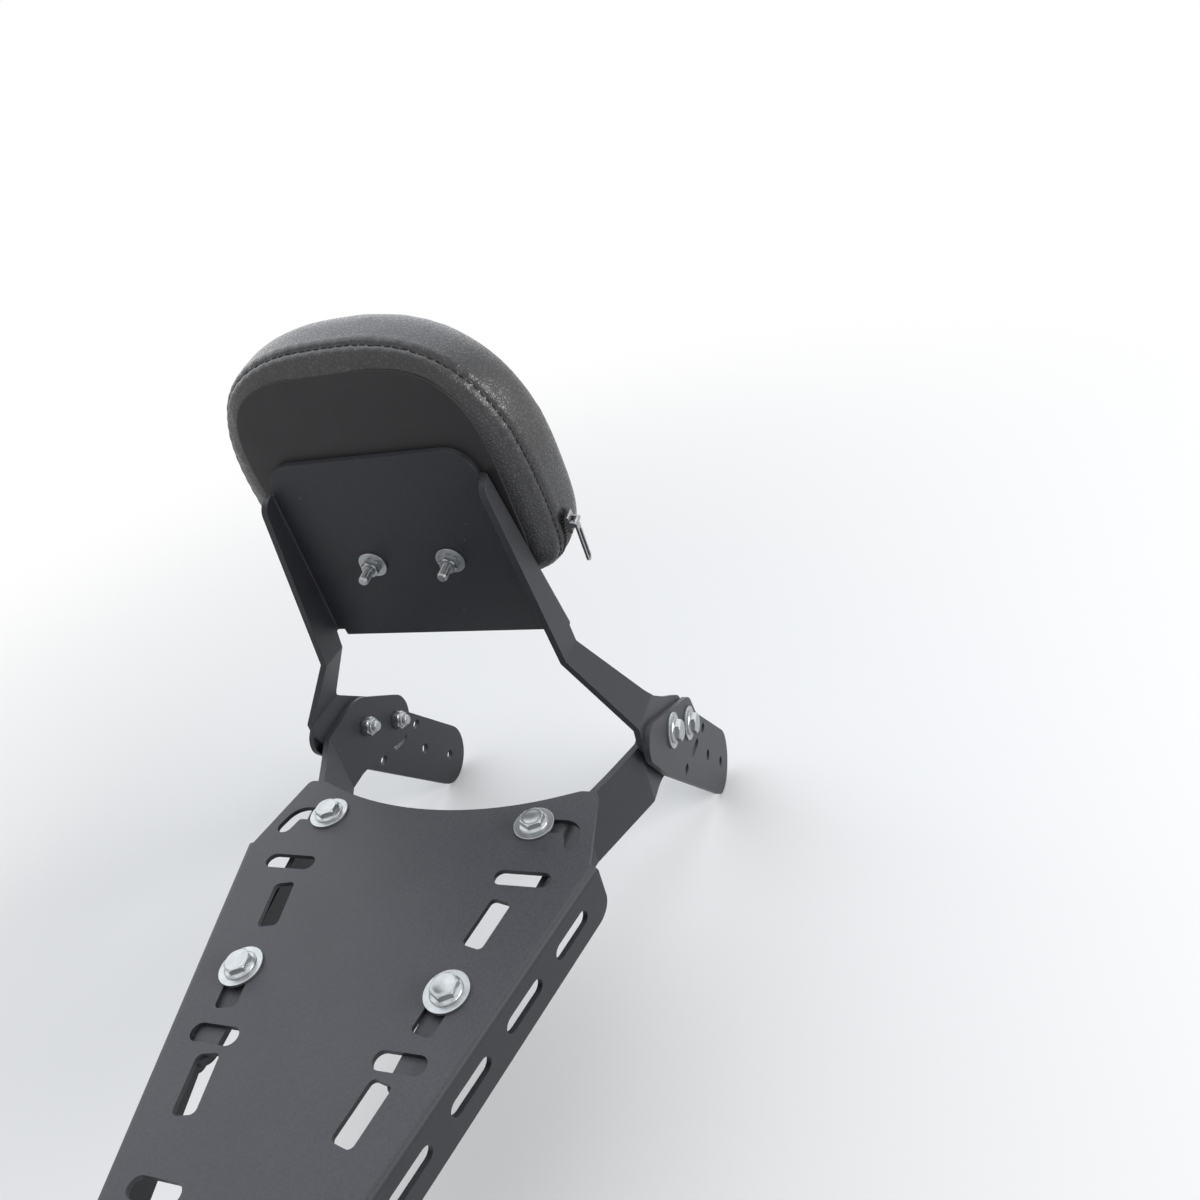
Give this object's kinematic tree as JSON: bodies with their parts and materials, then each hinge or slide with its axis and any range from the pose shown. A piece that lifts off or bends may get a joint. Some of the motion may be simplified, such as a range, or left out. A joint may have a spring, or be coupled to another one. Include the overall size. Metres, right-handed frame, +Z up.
{
  "type": "backrest with luggage rack",
  "caption": "Folded black steel motorbike backrest with a padded zip-cover cushion and a slotted luggage rack deck, clamped to the fender by two side brackets.",
  "frame": {"origin": "middle of the line through the two upper fender bolt holes, halfway between the side brackets", "axes": "+X to the rider's right along the fender bolt line, +Y forward, +Z up"},
  "size_m": [0.2624, 0.4704, 0.4354],
  "materials": {
    "powder_coat": "fine textured black powder coat",
    "zinc_steel": "zinc plated",
    "cover": "grained black faux leather",
    "back_panel": "smooth black faux leather stretched flat",
    "board": "plywood",
    "zip_metal": "bright metal",
    "zip_black": "black moulded zip teeth"
  },
  "bodies": {
    "frame": {"backrest_upright": "powder_coat", "fender_bracket_right": "powder_coat", "fender_bracket_left": "powder_coat", "rack_leg_right": "powder_coat", "rack_leg_left": "powder_coat", "rack_deck": "powder_coat", "clamp_bolts": "zinc_steel", "clamp_washers": "zinc_steel", "clamp_nuts": "zinc_steel", "deck_bolts": "zinc_steel", "deck_washers": "zinc_steel", "deck_nuts": "zinc_steel", "backrest_pad": "cover", "pad_back_panel": "back_panel", "pad_base_board": "board", "pad_studs": "zinc_steel", "pad_washers": "zinc_steel", "pad_nuts": "zinc_steel", "zip_chain": "zip_black", "zip_slider": "zip_metal"},
    "pull": {"zip_pull": "zip_metal"}
  },
  "joints": [
    {"name": "pull_swing", "type": "hinge", "parent": "frame", "child": "pull", "pos_m": [0.1014, -0.07493, 0.24779], "axis": [0, -0.9848, -0.1736], "range_deg": [0, 150]}
  ]
}
